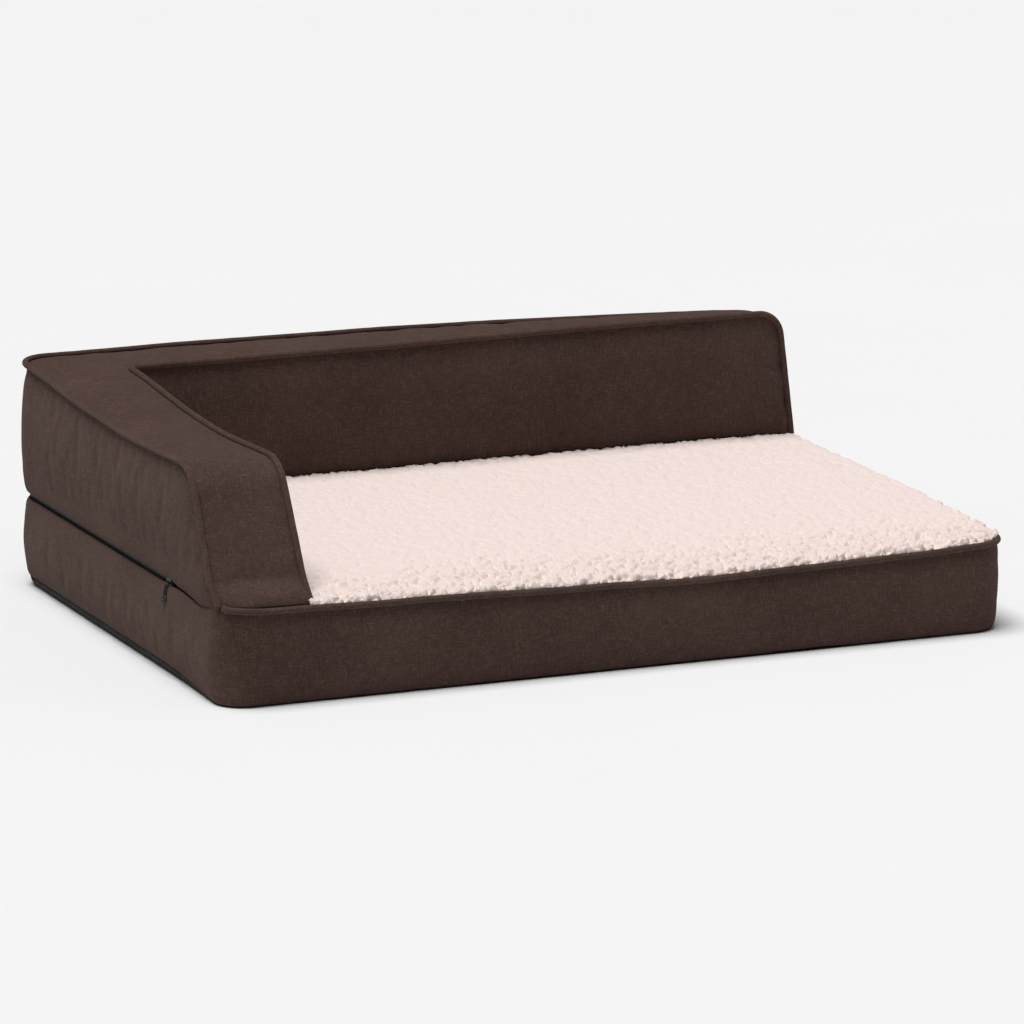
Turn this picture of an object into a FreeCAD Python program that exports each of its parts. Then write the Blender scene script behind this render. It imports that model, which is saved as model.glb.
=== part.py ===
"""Pet cushion bed: a boxed foam mattress with an L-shaped foam bolster along its left and rear sides.

Frame: +X to the right along the long front side, +Y to the rear, +Z up, in millimetres.
The origin is the centre of the base on the floor.
"""
import FreeCAD, Part
import math
import os

import Sketcher

DIMENSIONS = [
    ("bed_width", 900, "overall width, left to right"),
    ("bed_depth", 640, "overall depth, front to rear"),
    ("wall_inset", 4, "from the overall outline in to the sewn walls"),
    ("base_top", 100, "height of the mattress seam above the floor"),
    ("corner_radius", 34, "upright corners of the mattress and the outer corner of the bolster"),
    ("fabric", 1.2, "thickness of the woven cover fabric"),
    ("bottom_fabric", 1.5, "thickness of the non-slip bottom fabric"),
    ("lining", 1, "thickness of the lining under the bolster"),
    ("fleece", 6, "height of the curly fleece of the sleeping surface"),
    ("bolster_width", 100, "thickness of the bolster"),
    ("back_top", 247, "height of the rear bolster"),
    ("arm_top", 232, "height of the side bolster at its front end"),
    ("arm_setback", 14, "from the front wall back to the foot of the side bolster"),
    ("arm_lean", 28, "how far the front end of the side bolster leans back, in degrees"),
    ("arm_nose_radius", 55, "rounding between that end and the top"),
    ("back_setback", 4, "from the right wall in to the foot of the rear bolster"),
    ("back_lean", 7, "how far the right end of the rear bolster leans in, in degrees"),
    ("back_nose_radius", 28, "rounding between that end and the top"),
    ("piping_radius", 3, "outside of the covered welt cord"),
    ("cord_radius", 1.9, "filler cord inside the piping"),
    ("crest_run", 22, "from the inner corner forward to where the side bolster starts to slope"),
    ("piping_bend", 500, "gentle bend of the piping where that slope starts"),
    ("piping_inner_bend", 7, "bend of the piping at the inner corner of the bolster"),
    ("piping_tail", 1, "base piping carried on past the front left corner"),
    ("fit_gap", 0.1, "clearance round the piping and round its cord"),
    ("zip_front", 152, "from the front wall back to the front end of the zip"),
    ("zip_right", 145, "from the right wall in to the far end of the zip, on the rear side"),
    ("zip_inset", 6, "from the wall in to the face of the zip tape"),
    ("zip_slot", 10, "height of the opening between the fabrics that shows the zip"),
    ("zip_room", 9, "from the wall in to the foam behind the zip"),
    ("chain_width", 6, "the two coils together"),
    ("chain_gap", 1.4, "between the two coils, where the post of the slider passes"),
    ("chain_thickness", 2.3, "thickness of the coils"),
    ("tape_width", 13, "each zip tape"),
    ("tape_thickness", 0.6, "each zip tape"),
    ("tape_gap", 1.8, "between the two tapes, behind the coils"),
    ("stop_length", 2, "metal stops at both ends of the chain"),
    ("slider_length", 13, "along the zip"),
    ("slider_height", 9.4, "across the zip"),
    ("slider_clearance", 0.3, "between the slider and the chain, the tapes and the stops"),
    ("wing_thickness", 1.2, "front and rear plates of the slider"),
    ("wing_radius", 2.4, "rounded corners of those plates"),
    ("post_length", 3, "post that joins the two plates"),
    ("post_thickness", 0.8, "post that joins the two plates"),
    ("bridge_length", 8, "arch that holds the pull"),
    ("bridge_leg", 1.4, "each leg of the arch, along the zip"),
    ("bridge_width", 2.2, "legs of the arch, across the zip"),
    ("bridge_rise", 2.4, "from the slider to the axis of the arch's bar"),
    ("bar_radius", 0.7, "bar of the arch"),
    ("knuckle_clearance", 0.1, "between the bar and the pull's knuckle, on the radius"),
    ("knuckle_wall", 0.7, "wall of the knuckle"),
    ("knuckle_length", 4, "along the bar"),
    ("pull_length", 25, "from the bar to the end of the pull"),
    ("pull_width", 6.6, "width of the pull"),
    ("pull_neck", 6, "from the bar down to where the pull widens"),
    ("pull_thickness", 1.1, "thickness of the pull"),
    ("pull_lean", 12, "how far the hanging pull stands off the wall, in degrees"),
    ("pull_hole_radius", 1.7, "hole near the end of the pull"),
    ("pull_hole_margin", 4, "from the end of the pull to the middle of that hole"),
]

# Where the main surfaces lie, as expressions on the sheet.
WALL_X = "(dims.bed_width / 2 - dims.wall_inset)"
WALL_Y = "(dims.bed_depth / 2 - dims.wall_inset)"
ARM_INNER = f"(dims.bolster_width - {WALL_X})"
BACK_INNER = f"({WALL_Y} - dims.bolster_width)"
ARM_FOOT = f"(dims.arm_setback - {WALL_Y})"
BACK_FOOT = f"({WALL_X} - dims.back_setback)"
FOOT_Z = "(dims.base_top + dims.lining)"
ZIP_FRONT = f"(dims.zip_front - {WALL_Y})"
ZIP_END = f"({WALL_X} - dims.zip_right)"
SLOT_LOW = "(dims.base_top - dims.zip_slot / 2)"
SLOT_HIGH = "(dims.base_top + dims.zip_slot / 2)"
TAPE_LOW = "(dims.base_top - dims.tape_gap / 2 - dims.tape_width)"
TAPE_HIGH = "(dims.base_top + dims.tape_gap / 2 + dims.tape_width)"
SLIDER_Y = f"({ZIP_FRONT} + dims.stop_length + dims.slider_clearance + dims.slider_length / 2)"
CHAIN_FRONT = "(dims.zip_inset - dims.chain_thickness)"
WING_FRONT = f"({CHAIN_FRONT} - dims.slider_clearance - dims.wing_thickness)"
BAR_X = f"({WING_FRONT} - dims.bridge_rise - {WALL_X})"
FAR = "dims.bed_width"  # well past the object, for pieces that only cut

doc = FreeCAD.newDocument("pet_cushion_bed")
sheet = doc.addObject("Spreadsheet::Sheet", "dims")


def fill_sheet():
    """Writes the driving dimensions and gives each value its alias."""
    for row, (alias, number, note) in enumerate(DIMENSIONS, 1):
        sheet.set(f"A{row}", alias)
        sheet.set(f"B{row}", str(number))
        sheet.set(f"C{row}", note)
        sheet.setAlias(f"B{row}", alias)
    doc.recompute()


def value(expression):
    """What an expression on the sheet comes to, as a plain number."""
    found = sheet.evalExpression(str(expression))
    return float(getattr(found, "Value", found))


def bind(thing, **expressions):
    """Binds properties to expressions; a double underscore in a name stands for a dot."""
    for name, expression in expressions.items():
        thing.setExpression(name.replace("__", "."), str(expression))
    return thing


# PartDesign bodies: an outline on an origin plane, padded, with rounded edges.

PLANES = {"plan": "XY_Plane", "side": "YZ_Plane", "front": "XZ_Plane"}


def outline(body, plane, corners, start):
    """A closed sketch with its corners at (across, up) expressions, start away from the origin plane."""
    sketch = body.newObject("Sketcher::SketchObject", body.Name + "_outline")
    support = next(f for f in body.Origin.OriginFeatures if f.Role == PLANES[plane])
    sketch.AttachmentSupport = (support, [""])
    sketch.MapMode = "FlatFace"
    sketch.setExpression("AttachmentOffset.Base.z", start)
    points = [FreeCAD.Vector(value(across), value(up), 0) for across, up in corners]
    for here, there in zip(points, points[1:] + points[:1]):
        sketch.addGeometry(Part.LineSegment(here, there), False)
    for i, (across, up) in enumerate(corners):
        sketch.addConstraint(Sketcher.Constraint("Coincident", (i - 1) % len(corners), 2, i, 1))
        for kind, text, at in (("DistanceX", across, points[i].x), ("DistanceY", up, points[i].y)):
            index = sketch.addConstraint(Sketcher.Constraint(kind, i, 1, at))
            name = f"{kind}_{i}"
            sketch.renameConstraint(index, name)
            sketch.setExpression("Constraints." + name, text)
    return sketch


def padded(label, plane, corners, start, length):
    """A body with one outline padded by length, along +Z, +X or -Y by its plane."""
    body = doc.addObject("PartDesign::Body", label)
    pad = body.newObject("PartDesign::Pad", label + "_pad")
    pad.Profile = outline(body, plane, corners, start)
    body.Tip = pad
    bind(pad, Length=length)
    doc.recompute()
    return body


def rounded(body, test, radius):
    """Fillets the edges of the body whose middle point and direction pass the test."""
    base, names = body.Tip, []
    for i, edge in enumerate(base.Shape.Edges, 1):
        middle = edge.valueAt((edge.FirstParameter + edge.LastParameter) / 2)
        if test(middle, edge.tangentAt(edge.FirstParameter)):
            names.append(f"Edge{i}")
    fillet = body.newObject("PartDesign::Fillet", body.Name + "_fillet")
    fillet.Base = (base, names)
    body.Tip = fillet
    bind(fillet, Radius=radius)
    doc.recompute()
    return body


def upright(middle, along):
    return abs(along.z) > 0.99


def plate(label, x_low, x_high, y_low, y_high, z_low, z_high):
    """A rectangular body between the given planes."""
    corners = [(x_low, y_low), (x_high, y_low), (x_high, y_high), (x_low, y_high)]
    return padded(label, "plan", corners, z_low, f"{z_high} - {z_low}")


def block(label, inset, z_low, z_high):
    """The mattress outline with its rounded upright corners, drawn in by inset."""
    x, y = f"({WALL_X} - {inset})", f"({WALL_Y} - {inset})"
    body = plate(label, f"-{x}", x, f"-{y}", y, z_low, z_high)
    return rounded(body, upright, f"dims.corner_radius - {inset}")


# Part features: primitives, sweeps and booleans.

def box(label, x_low, x_high, y_low, y_high, z_low, z_high):
    solid = doc.addObject("Part::Box", label)
    return bind(solid, Length=f"{x_high} - ({x_low})", Width=f"{y_high} - ({y_low})",
                Height=f"{z_high} - ({z_low})", Placement__Base__x=x_low,
                Placement__Base__y=y_low, Placement__Base__z=z_low)


def rod_along_y(label, radius, x, y_low, length, z):
    solid = doc.addObject("Part::Cylinder", label)
    solid.Placement.Rotation = FreeCAD.Rotation(FreeCAD.Vector(1, 0, 0), -90)
    return bind(solid, Radius=radius, Height=length, Placement__Base__x=x,
                Placement__Base__y=y_low, Placement__Base__z=z)


def cut(label, base, *tools):
    """base without each of the tools in turn; the last cut carries the label."""
    for i, tool in enumerate(tools, 1):
        name = label if i == len(tools) else f"{label}_less_{i}"
        step = doc.addObject("Part::Cut", name)
        step.Base, step.Tool = base, tool
        base = step
    return base


def common(label, first, second):
    both = doc.addObject("Part::Common", label)
    both.Base, both.Tool = first, second
    return both


def fused(label, *shapes):
    joined = doc.addObject("Part::MultiFuse", label)
    joined.Shapes = list(shapes)
    joined.Refine = True
    return joined


def ring(label, outer_inset, inner_inset, z_low, z_high):
    """An upright band that follows the mattress walls, between two insets."""
    outer = block(label + "_outer", outer_inset, z_low, z_high)
    inner = block(label + "_inner", inner_inset, z_low, z_high)
    return cut(label, outer, inner)


def zip_run(label, piece):
    """The stretch of a ring that follows the zip: the left wall from its front end, and the rear wall."""
    run = box(label + "_run", f"-{FAR}", ZIP_END, ZIP_FRONT, FAR, "0", "dims.back_top")
    return common(label, piece, run)


# Piping: a welt cord in a fabric tube, swept along straight runs joined by tangent arcs.

def path(label, corners):
    """A wire through the corners (x, y, z, bend radius), as expressions; both ends have no bend."""
    points = [FreeCAD.Vector(*(value(c) for c in corner[:3])) for corner in corners]
    edges, here = [], points[0]
    for before, point, after, corner in zip(points, points[1:], points[2:], corners[1:]):
        bend = value(corner[3])
        arriving = (point - before).normalize()
        leaving = (after - point).normalize()
        half_turn = arriving.getAngle(leaving) / 2
        start = point - arriving * bend * math.tan(half_turn)
        end = point + leaving * bend * math.tan(half_turn)
        inward = (leaving - arriving).normalize()
        middle = point + inward * bend * (1 / math.cos(half_turn) - 1)
        edges += [Part.LineSegment(here, start).toShape(), Part.Arc(start, middle, end).toShape()]
        here = end
    edges.append(Part.LineSegment(here, points[-1]).toShape())
    wire = doc.addObject("Part::Feature", label)
    wire.Shape = Part.Wire(edges)
    return wire


def swept(label, wire, radius):
    """A round rod along the wire."""
    first = wire.Shape.OrderedEdges[0]
    section = doc.addObject("Part::Circle", label + "_section")
    turn = FreeCAD.Rotation(FreeCAD.Vector(0, 0, 1), first.tangentAt(first.FirstParameter))
    section.Placement = FreeCAD.Placement(first.valueAt(first.FirstParameter), turn)
    bind(section, Radius=radius)
    sweep = doc.addObject("Part::Sweep", label)
    sweep.Sections = [section]
    sweep.Spine = (wire, [f"Edge{i}" for i in range(1, len(wire.Shape.Edges) + 1)])
    sweep.Solid, sweep.Frenet, sweep.Transition = True, False, "Right corner"
    return sweep


def piping(label, corners):
    """The fabric tube, the cord in it, and the room to cut for it in what it is sewn between."""
    wire = path(label + "_path", corners)
    cord = swept(label + "_cord", wire, "dims.cord_radius")
    tube = swept(label + "_tube", wire, "dims.piping_radius")
    hollow = swept(label + "_hollow", wire, "dims.cord_radius + dims.fit_gap")
    room = swept(label + "_room", wire, "dims.piping_radius + dims.fit_gap")
    return cut(label + "_cover", tube, hollow), cord, room


def base_piping():
    """Piping along the front seam of the mattress, from the front left corner to the rear bolster."""
    front_y, seam = f"-{WALL_Y}", "dims.base_top"
    tail_y = f"(dims.corner_radius + dims.piping_tail - {WALL_Y})"
    return piping("base_piping", [
        (f"-{WALL_X}", tail_y, seam, "0"),
        (f"-{WALL_X}", front_y, seam, "dims.corner_radius"),
        (WALL_X, front_y, seam, "dims.corner_radius"),
        (WALL_X, BACK_INNER, seam, "0"),
    ])


def bolster_piping(label, x, y, corner_bend):
    """Piping along one edge of the top strip, from the front foot round to the right foot."""
    start_z = "(dims.base_top + dims.fleece + dims.fit_gap)"
    start_y = f"({ARM_FOOT} + ({start_z} - {FOOT_Z}) * tan(dims.arm_lean))"
    nose_y = f"({ARM_FOOT} + (dims.arm_top - {FOOT_Z}) * tan(dims.arm_lean))"
    end_x = f"({BACK_FOOT} - ({start_z} - {FOOT_Z}) * tan(dims.back_lean))"
    nose_x = f"({BACK_FOOT} - (dims.back_top - {FOOT_Z}) * tan(dims.back_lean))"
    crest_y = f"({BACK_INNER} - dims.crest_run)"
    return piping(label, [
        (x, start_y, start_z, "0"),
        (x, nose_y, "dims.arm_top", "dims.arm_nose_radius"),
        (x, crest_y, "dims.back_top", "dims.piping_bend"),
        (x, y, "dims.back_top", corner_bend),
        (nose_x, y, "dims.back_top", "dims.back_nose_radius"),
        (end_x, y, start_z, "0"),
    ])


# The bolster: its two arms in profile, and the zones that its skins and foams take up.

def bolster_solid(label, inset):
    """Both arms of the bolster, with the top and the ends drawn in by inset."""
    crest_y = f"({BACK_INNER} - dims.crest_run)"
    back_top, arm_top = f"(dims.back_top - {inset})", f"(dims.arm_top - {inset})"
    arm_foot = f"({ARM_FOOT} + {inset} / cos(dims.arm_lean))"
    arm_nose = f"({arm_foot} + ({arm_top} - {FOOT_Z}) * tan(dims.arm_lean))"
    back_foot = f"({BACK_FOOT} - {inset} / cos(dims.back_lean))"
    back_nose = f"({back_foot} - ({back_top} - {FOOT_Z}) * tan(dims.back_lean))"

    arm = padded(label + "_arm", "side", [
        (arm_foot, FOOT_Z), (WALL_Y, FOOT_Z), (WALL_Y, back_top),
        (crest_y, back_top), (arm_nose, arm_top),
    ], f"-{WALL_X}", "dims.bolster_width")
    nose_y = value(arm_nose)
    rounded(arm, lambda middle, along: abs(middle.y - nose_y) < 0.01, f"dims.arm_nose_radius - {inset}")

    back = padded(label + "_back", "front", [
        (f"-{WALL_X}", FOOT_Z), (back_foot, FOOT_Z), (back_nose, back_top), (f"-{WALL_X}", back_top),
    ], f"-{WALL_Y}", "dims.bolster_width")
    nose_x = value(back_nose)
    rounded(back, lambda middle, along: abs(middle.x - nose_x) < 0.01, f"dims.back_nose_radius - {inset}")
    return fused(label, arm, back)


def outer_block(label, inset):
    """A block within the left and rear walls that reaches well past the object on the other sides."""
    left, rear = f"({inset} - {WALL_X})", f"({WALL_Y} - {inset})"
    body = plate(label, left, FAR, f"-{FAR}", rear, "0", "dims.back_top + dims.piping_radius")
    corner = lambda middle, along: upright(middle, along) and middle.x < 0 < middle.y
    return rounded(body, corner, f"dims.corner_radius - {inset}")


def inner_block(label, margin):
    """The space in front of the bolster and to its right, grown by margin into the bolster."""
    return plate(label, f"({ARM_INNER} - {margin})", FAR, f"-{FAR}", f"({BACK_INNER} + {margin})",
                 "0", "dims.back_top + dims.piping_radius")


def zip_room():
    """The space behind the tapes, cut from the foams and the lining."""
    band = ring("zip_room_band", "0", "dims.zip_room", TAPE_LOW, TAPE_HIGH)
    return zip_run("zip_room", band)


def zip_slot():
    """The opening in the fabrics that shows the zip."""
    return box("zip_slot", f"-{FAR}", ZIP_END, ZIP_FRONT, FAR, SLOT_LOW, SLOT_HIGH)


def bolster(rooms):
    """The lining, the two foams and the three skins of the bolster."""
    full = bolster_solid("bolster_full", "0")
    filling = bolster_solid("bolster_filling", "dims.fabric")
    within_skin = outer_block("within_outer_skin", "dims.fabric")
    skin_band = cut("outer_skin_band", outer_block("within_walls", "0"), within_skin)
    core = cut("bolster_core", within_skin, inner_block("up_to_inner_skin", "dims.fabric"))
    inner_band = cut("inner_skin_band", inner_block("up_to_inner_skin_too", "dims.fabric"),
                     inner_block("sleeping_space", "0"))
    base, outer, inner, behind_zip, slot = rooms

    lining_block = block("lining_block", "0", "dims.base_top", FOOT_Z)
    lining = cut("bolster_lining", lining_block, inner_block("lining_opening", "0"), base, behind_zip)

    foam = common("bolster_foam", filling, core)
    behind = box("behind_arm", f"-{FAR}", FAR, BACK_INNER, FAR, "0", FAR)
    ahead = box("ahead_of_back", f"-{FAR}", FAR, f"-{FAR}", BACK_INNER, "0", FAR)
    arm_foam = cut("arm_foam", foam, behind, outer, inner, behind_zip, base)
    back_foam = cut("back_foam", foam, ahead, outer, inner, behind_zip)

    strip = common("top_strip_whole", cut("bolster_top_and_ends", full, filling), core)
    top_strip = cut("top_strip", strip, outer, inner, base)

    lip = lip_ring("upper_lip", SLOT_HIGH, f"({SLOT_HIGH} + dims.fabric)")
    outer_skin = common("outer_skin", full, skin_band)
    outer_panel = cut("outer_panel", fused("outer_skin_lipped", outer_skin, lip), slot, outer, base)
    inner_panel = cut("inner_panel", common("inner_skin", full, inner_band), inner)
    return [lining, arm_foam, back_foam, top_strip, outer_panel, inner_panel]


def lip_ring(label, z_low, z_high):
    """The edge of a fabric folded in to the zip tape along the slot."""
    return zip_run(label, ring(label + "_ring", "dims.fabric", "dims.zip_inset", z_low, z_high))


def mattress(rooms):
    """The bottom fabric, the side band, the foam and the fleece of the mattress."""
    base, _, inner, behind_zip, slot = rooms
    bottom = block("bottom_panel", "0", "0", "dims.bottom_fabric")
    band = ring("side_band_whole", "0", "dims.fabric", "dims.bottom_fabric", "dims.base_top")
    lip = lip_ring("lower_lip", f"({SLOT_LOW} - dims.fabric)", SLOT_LOW)
    side_band = cut("side_band", fused("side_band_lipped", band, lip), slot, base)
    foam = block("base_foam_block", "dims.fabric", "dims.bottom_fabric", "dims.base_top")
    base_foam = cut("base_foam", foam, base, behind_zip)
    pile = block("fleece_block", "0", "dims.base_top", "(dims.base_top + dims.fleece)")
    beside = cut("beside_sleeping_space", box("over_base", f"-{FAR}", FAR, f"-{FAR}", FAR, "0", FAR),
                 inner_block("fleece_outline", "0"))
    sleeping_panel = cut("sleeping_panel", pile, beside, base, inner)
    return [bottom, side_band, base_foam, sleeping_panel]


# The zip: tapes and coils along the left and rear walls, with a stop at each end.

def zip_tape(label, z_low, z_high):
    band = ring(label + "_ring", "dims.zip_inset", "(dims.zip_inset + dims.tape_thickness)",
                z_low, z_high)
    return zip_run(label, band)


def zip_coil(label, z_low, z_high, stops):
    band = ring(label + "_ring", CHAIN_FRONT, "dims.zip_inset", z_low, z_high)
    return cut(label, zip_run(label + "_whole", band), *stops)


def zipper():
    half_chain, half_gap = "dims.chain_width / 2", "dims.chain_gap / 2"
    low, high = f"(dims.base_top - {half_chain})", f"(dims.base_top + {half_chain})"
    front_stop = box("zip_stop_front", f"({CHAIN_FRONT} - {WALL_X})", f"(dims.zip_inset - {WALL_X})",
                     ZIP_FRONT, f"({ZIP_FRONT} + dims.stop_length)", low, high)
    rear_stop = box("zip_stop_rear", f"({ZIP_END} - dims.stop_length)", ZIP_END,
                    f"({WALL_Y} - dims.zip_inset)", f"({WALL_Y} - {CHAIN_FRONT})", low, high)
    stops = (front_stop, rear_stop)
    tape_reach = "dims.tape_gap / 2"
    return [
        front_stop,
        rear_stop,
        zip_tape("zip_tape_lower", TAPE_LOW, f"(dims.base_top - {tape_reach})"),
        zip_tape("zip_tape_upper", f"(dims.base_top + {tape_reach})", TAPE_HIGH),
        zip_coil("zip_coil_lower", low, f"(dims.base_top - {half_gap})", stops),
        zip_coil("zip_coil_upper", f"(dims.base_top + {half_gap})", high, stops),
    ]


# The slider and its pull, at the front end of the zip.

def slider_wing(label, inset):
    """One plate of the slider, upright against the zip, with rounded corners."""
    low_y, high_y = f"({SLIDER_Y} - dims.slider_length / 2)", f"({SLIDER_Y} + dims.slider_length / 2)"
    low_z, high_z = "(dims.base_top - dims.slider_height / 2)", "(dims.base_top + dims.slider_height / 2)"
    corners = [(low_y, low_z), (high_y, low_z), (high_y, high_z), (low_y, high_z)]
    body = padded(label, "side", corners, f"({inset} - {WALL_X})", "dims.wing_thickness")
    return rounded(body, lambda middle, along: abs(along.x) > 0.99, "dims.wing_radius")


def slider():
    rear_inset = "(dims.zip_inset + dims.tape_thickness + dims.slider_clearance)"
    front_wing = slider_wing("slider_front_wing", WING_FRONT)
    rear_wing = slider_wing("slider_rear_wing", rear_inset)
    post = box("slider_post", f"({WING_FRONT} + dims.wing_thickness / 2 - {WALL_X})",
               f"({rear_inset} + dims.wing_thickness / 2 - {WALL_X})",
               f"({SLIDER_Y} - dims.post_length / 2)", f"({SLIDER_Y} + dims.post_length / 2)",
               "(dims.base_top - dims.post_thickness / 2)", "(dims.base_top + dims.post_thickness / 2)")
    body = fused("slider_body", front_wing, rear_wing, post)

    face = f"({WING_FRONT} - {WALL_X})"
    legs = []
    for name, side in (("front", "-1"), ("rear", "1")):
        middle = f"({SLIDER_Y} + {side} * (dims.bridge_length - dims.bridge_leg) / 2)"
        legs.append(box(f"bridge_leg_{name}", f"({BAR_X} - dims.bar_radius)", face,
                        f"({middle} - dims.bridge_leg / 2)", f"({middle} + dims.bridge_leg / 2)",
                        "(dims.base_top - dims.bridge_width / 2)",
                        "(dims.base_top + dims.bridge_width / 2)"))
    bar = rod_along_y("bridge_bar", "dims.bar_radius", BAR_X,
                      f"({SLIDER_Y} - dims.bridge_length / 2)", "dims.bridge_length", "dims.base_top")
    return [body, fused("slider_bridge", *legs, bar)]


def pull():
    """The pull hangs from the bar, leaning away from the wall; it is drawn upright and then turned."""
    outer_radius = "(dims.bar_radius + dims.knuckle_clearance + dims.knuckle_wall)"
    half = "dims.pull_width / 2"
    knuckle_half = "dims.knuckle_length / 2"
    neck, end = "-dims.pull_neck", f"({half} - dims.pull_length)"
    start, thickness = "-dims.pull_thickness / 2", "dims.pull_thickness"
    tongue = padded("pull_tongue", "side", [
        (f"-{knuckle_half}", "0"), (f"-{knuckle_half}", f"{neck} / 2"), (f"-{half}", neck),
        (f"-{half}", end), (half, end), (half, neck),
        (knuckle_half, f"{neck} / 2"), (knuckle_half, "0"),
    ], start, thickness)
    tip = rod_along_x("pull_tip", half, start, thickness, end)
    hole = rod_along_x("pull_hole", "dims.pull_hole_radius", "-dims.pull_thickness",
                       "dims.pull_thickness * 2", "(dims.pull_hole_margin - dims.pull_length)")
    knuckle = rod_along_y("pull_knuckle", outer_radius, "0", f"-{knuckle_half}", "dims.knuckle_length", "0")
    bore = rod_along_y("pull_bore", "dims.bar_radius + dims.knuckle_clearance", "0",
                       "-dims.knuckle_length", "dims.knuckle_length * 2", "0")
    flat = cut("pull", fused("pull_blank", tongue, tip, knuckle), hole, bore)
    flat.Placement.Rotation = FreeCAD.Rotation(FreeCAD.Vector(0, 1, 0), value("dims.pull_lean"))
    bind(flat, Placement__Base__x=BAR_X, Placement__Base__y=SLIDER_Y, Placement__Base__z="dims.base_top")
    return [flat]


def rod_along_x(label, radius, x_low, length, z):
    solid = doc.addObject("Part::Cylinder", label)
    solid.Placement.Rotation = FreeCAD.Rotation(FreeCAD.Vector(0, 1, 0), 90)
    return bind(solid, Radius=radius, Height=length, Placement__Base__x=x_low, Placement__Base__z=z)


def check(pieces):
    """Stops at any object that failed and any piece that isn't a valid solid."""
    failed = [thing.Name for thing in doc.Objects if {"Invalid", "Error"} & set(thing.State)]
    if failed:
        raise RuntimeError(f"these objects failed to recompute: {failed}")
    for piece in pieces:
        shape = piece.Shape
        if shape.isNull() or not shape.isValid() or shape.Volume <= 0:
            raise RuntimeError(f"{piece.Label} isn't a valid solid")


def main():
    fill_sheet()
    base_cover, base_cord, base_room = base_piping()
    outer_cover, outer_cord, outer_room = bolster_piping(
        "outer_piping", f"-{WALL_X}", WALL_Y, "dims.corner_radius")
    inner_cover, inner_cord, inner_room = bolster_piping(
        "inner_piping", ARM_INNER, BACK_INNER, "dims.piping_inner_bend")
    rooms = (base_room, outer_room, inner_room, zip_room(), zip_slot())
    pieces = [base_cover, base_cord, outer_cover, outer_cord, inner_cover, inner_cord]
    pieces += mattress(rooms) + bolster(rooms) + zipper() + slider() + pull()
    doc.recompute()
    check(pieces)
    os.makedirs("parts", exist_ok=True)
    for piece in pieces:
        piece.Shape.exportStep(os.path.join("parts", piece.Label + ".step"))
        print(f"{piece.Label}: {len(piece.Shape.Solids)} solid, {piece.Shape.Volume / 1000:.2f} cm3")


main()
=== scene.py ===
"""Looks of the pet cushion bed: fabric covers, piping, fleece and zip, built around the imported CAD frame."""

import math

import bmesh
import bpy
from bpy.props import FloatProperty, FloatVectorProperty, PointerProperty
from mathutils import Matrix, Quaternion, Vector, noise


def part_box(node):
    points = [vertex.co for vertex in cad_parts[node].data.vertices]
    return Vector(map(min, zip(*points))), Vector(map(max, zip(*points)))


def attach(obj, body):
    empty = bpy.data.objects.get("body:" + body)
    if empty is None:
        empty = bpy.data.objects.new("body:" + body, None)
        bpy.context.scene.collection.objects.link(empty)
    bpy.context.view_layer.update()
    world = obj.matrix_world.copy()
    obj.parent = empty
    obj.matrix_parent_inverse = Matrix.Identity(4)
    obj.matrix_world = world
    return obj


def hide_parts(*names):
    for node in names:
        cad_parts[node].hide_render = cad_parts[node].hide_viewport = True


bl_info = {
    "name": "Pet cushion bed",
    "version": (1, 0, 0),
    "blender": (4, 5, 0),
    "location": "View3D > Sidebar > Pet bed",
    "description": "Builds a bolstered pet bed with a fleece top, piping and a zipped cover",
    "category": "Object",
}

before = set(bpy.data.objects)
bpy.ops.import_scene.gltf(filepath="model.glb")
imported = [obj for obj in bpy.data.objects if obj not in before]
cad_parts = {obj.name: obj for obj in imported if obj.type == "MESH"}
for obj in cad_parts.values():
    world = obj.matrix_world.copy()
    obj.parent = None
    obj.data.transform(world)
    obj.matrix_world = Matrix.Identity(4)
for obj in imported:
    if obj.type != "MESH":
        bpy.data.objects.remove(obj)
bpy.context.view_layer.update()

MM = 0.001
UP = Vector((0, 0, 1))


# What the frame says: the walls, the seams and the zip.

FLEECE_LOW, FLEECE_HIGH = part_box("sleeping_panel")
COIL_LOW, COIL_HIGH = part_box("zip_coil_lower")
WALL_X, WALL_Y, SEAM_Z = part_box("side_band")[1]
TOP_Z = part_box("top_strip")[1].z
ARM_INNER, BACK_INNER = FLEECE_LOW.x, FLEECE_HIGH.y
ZIP_FRONT, ZIP_END = COIL_LOW.y, COIL_HIGH.x

# Chosen places and steps.

FRONT_SEAM_END = 0.446
NOSE_X, NOSE_Y, SHIN_Y = 0.424, -0.222, -0.285
ARC_STEP = 1.5 * MM
MATTRESS_STEP = 6 * MM
ROW_STEP = 5.6 * MM
PIPING_STEP = 2 * MM
WELD = 0.05 * MM

# How the covers are filled.

PRESSURE = 4.0
FRAMES = 22
LARGEST_MOVE = 5 * MM
FABRIC_FILL, FOAM_FILL = 0.8, 0.9


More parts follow.
